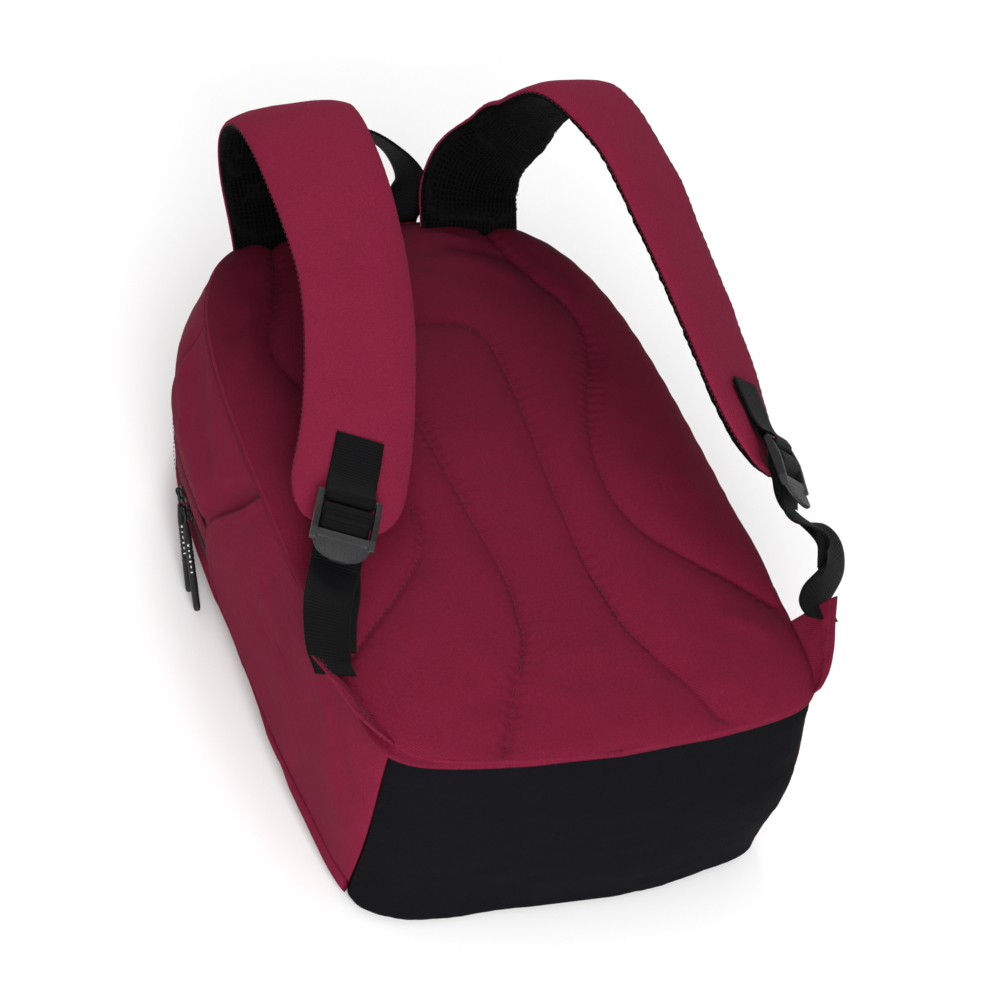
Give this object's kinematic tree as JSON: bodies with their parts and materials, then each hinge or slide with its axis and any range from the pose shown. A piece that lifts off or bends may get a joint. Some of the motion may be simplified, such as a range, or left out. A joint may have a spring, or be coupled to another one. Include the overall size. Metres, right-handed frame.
{
  "type": "travel backpack",
  "caption": "Soft laptop and travel backpack lying on its front pocket, with a padded back panel, curved shoulder straps on ladder locks, side pockets, zips with cord pulls and a grab handle.",
  "frame": {"origin": "middle of the flat face of the front pocket, which the bag rests on", "axes": "+X across the back panel, +Y from the base towards the top and its grab handle, +Z from the front pocket towards the back panel and straps"},
  "size_m": [0.3478, 0.5111, 0.2699],
  "materials": {
    "twill": "burgundy polyester twill",
    "base_cloth": "black polyester twill",
    "lining": "black lining cloth",
    "foam": "closed-cell foam behind cloth",
    "board": "stiff plastic board",
    "zip_tape": "black nylon tape and coil",
    "slider_metal": "black lacquered die-cast zinc",
    "pull_cord": "black tube over cord, wire loop at its end",
    "air_mesh": "black air mesh",
    "buckle": "dark grey moulded acetal",
    "webbing": "black ribbed nylon webbing"
  },
  "bodies": {
    "bag": {"back_panel_shell": "twill", "back_panel_foam": "foam", "back_panel_lining": "lining", "laptop_sleeve": "lining", "base_board": "board", "base_panel": "base_cloth", "top_gusset": "twill", "zip_facing": "twill", "main_zip_tape": "zip_tape", "front_panel": "twill", "front_pocket_panel": "twill", "front_zip_tape": "zip_tape", "side_panel_left": "twill", "side_panel_right": "twill", "side_pocket_left": "twill", "side_pocket_right": "twill", "corner_wing_left": "twill", "corner_wing_right": "twill", "adjuster_webbing_left": "webbing", "adjuster_webbing_right": "webbing"},
    "strap_left": {"strap_mesh_left": "air_mesh", "strap_foam_left": "foam", "strap_shell_left": "twill", "strap_tab_left": "webbing"},
    "strap_right": {"strap_mesh_right": "air_mesh", "strap_foam_right": "foam", "strap_shell_right": "twill", "strap_tab_right": "webbing"},
    "buckle_left": {"ladder_lock_left": "buckle"},
    "buckle_right": {"ladder_lock_right": "buckle"},
    "handle": {"grab_handle": "webbing"},
    "zip_slider_low": {"main_slider_low": "slider_metal"},
    "zip_slider_high": {"main_slider_high": "slider_metal"},
    "zip_pull_low": {"main_pull_low": "pull_cord"},
    "zip_pull_high": {"main_pull_high": "pull_cord"},
    "pocket_slider": {"front_slider": "slider_metal"},
    "pocket_pull": {"front_pull": "pull_cord"}
  },
  "joints": [
    {"name": "strap_left_lift", "type": "hinge", "parent": "bag", "child": "strap_left", "pos_m": [-0.0665, 0.2556, 0.1434], "axis": [-1, 0, 0], "range_deg": [0, 15], "deforming": ["adjuster_webbing_left"]},
    {"name": "strap_right_lift", "type": "hinge", "parent": "bag", "child": "strap_right", "pos_m": [0.0665, 0.2556, 0.1434], "axis": [-1, 0, 0], "range_deg": [-3, 15], "deforming": ["adjuster_webbing_right"]},
    {"name": "buckle_left_tilt", "type": "hinge", "parent": "strap_left", "child": "buckle_left", "pos_m": [-0.11846, -0.01003, 0.18124], "axis": [-0.9042, 0.4211, 0.071], "range_deg": [-5, 18]},
    {"name": "buckle_right_tilt", "type": "hinge", "parent": "strap_right", "child": "buckle_right", "pos_m": [0.14954, -0.02987, 0.21314], "axis": [-0.726, -0.236, 0.646], "range_deg": [-5, 18]},
    {"name": "handle_swing", "type": "hinge", "parent": "bag", "child": "handle", "pos_m": [0, 0.265, 0.1365], "axis": [1, 0, 0], "range_deg": [-15, 20]},
    {"name": "zip_slider_low_slide", "type": "slide", "parent": "bag", "child": "zip_slider_low", "axis": [0.0622, 0.9981, 0], "range_m": [-0.03, 0.001]},
    {"name": "zip_slider_high_slide", "type": "slide", "parent": "bag", "child": "zip_slider_high", "axis": [0.1122, 0.9937, 0], "range_m": [0, 0.03]},
    {"name": "zip_pull_low_swing", "type": "hinge", "parent": "zip_slider_low", "child": "zip_pull_low", "pos_m": [-0.15115, 0.11016, 0.03457], "axis": [0.311, 0.482, -0.8191], "range_deg": [-2, 60]},
    {"name": "zip_pull_high_swing", "type": "hinge", "parent": "zip_slider_high", "child": "zip_pull_high", "pos_m": [-0.15015, 0.12612, 0.03455], "axis": [0.327, 0.4731, -0.8181], "range_deg": [-2, 60]},
    {"name": "pocket_slider_slide", "type": "slide", "parent": "bag", "child": "pocket_slider", "axis": [1, 0, 0], "range_m": [-0.125, 0.006]},
    {"name": "pocket_pull_swing", "type": "hinge", "parent": "pocket_slider", "child": "pocket_pull", "pos_m": [0.064, 0.1244, 0.0057], "axis": [0, 0, -1], "range_deg": [0, 80]}
  ]
}
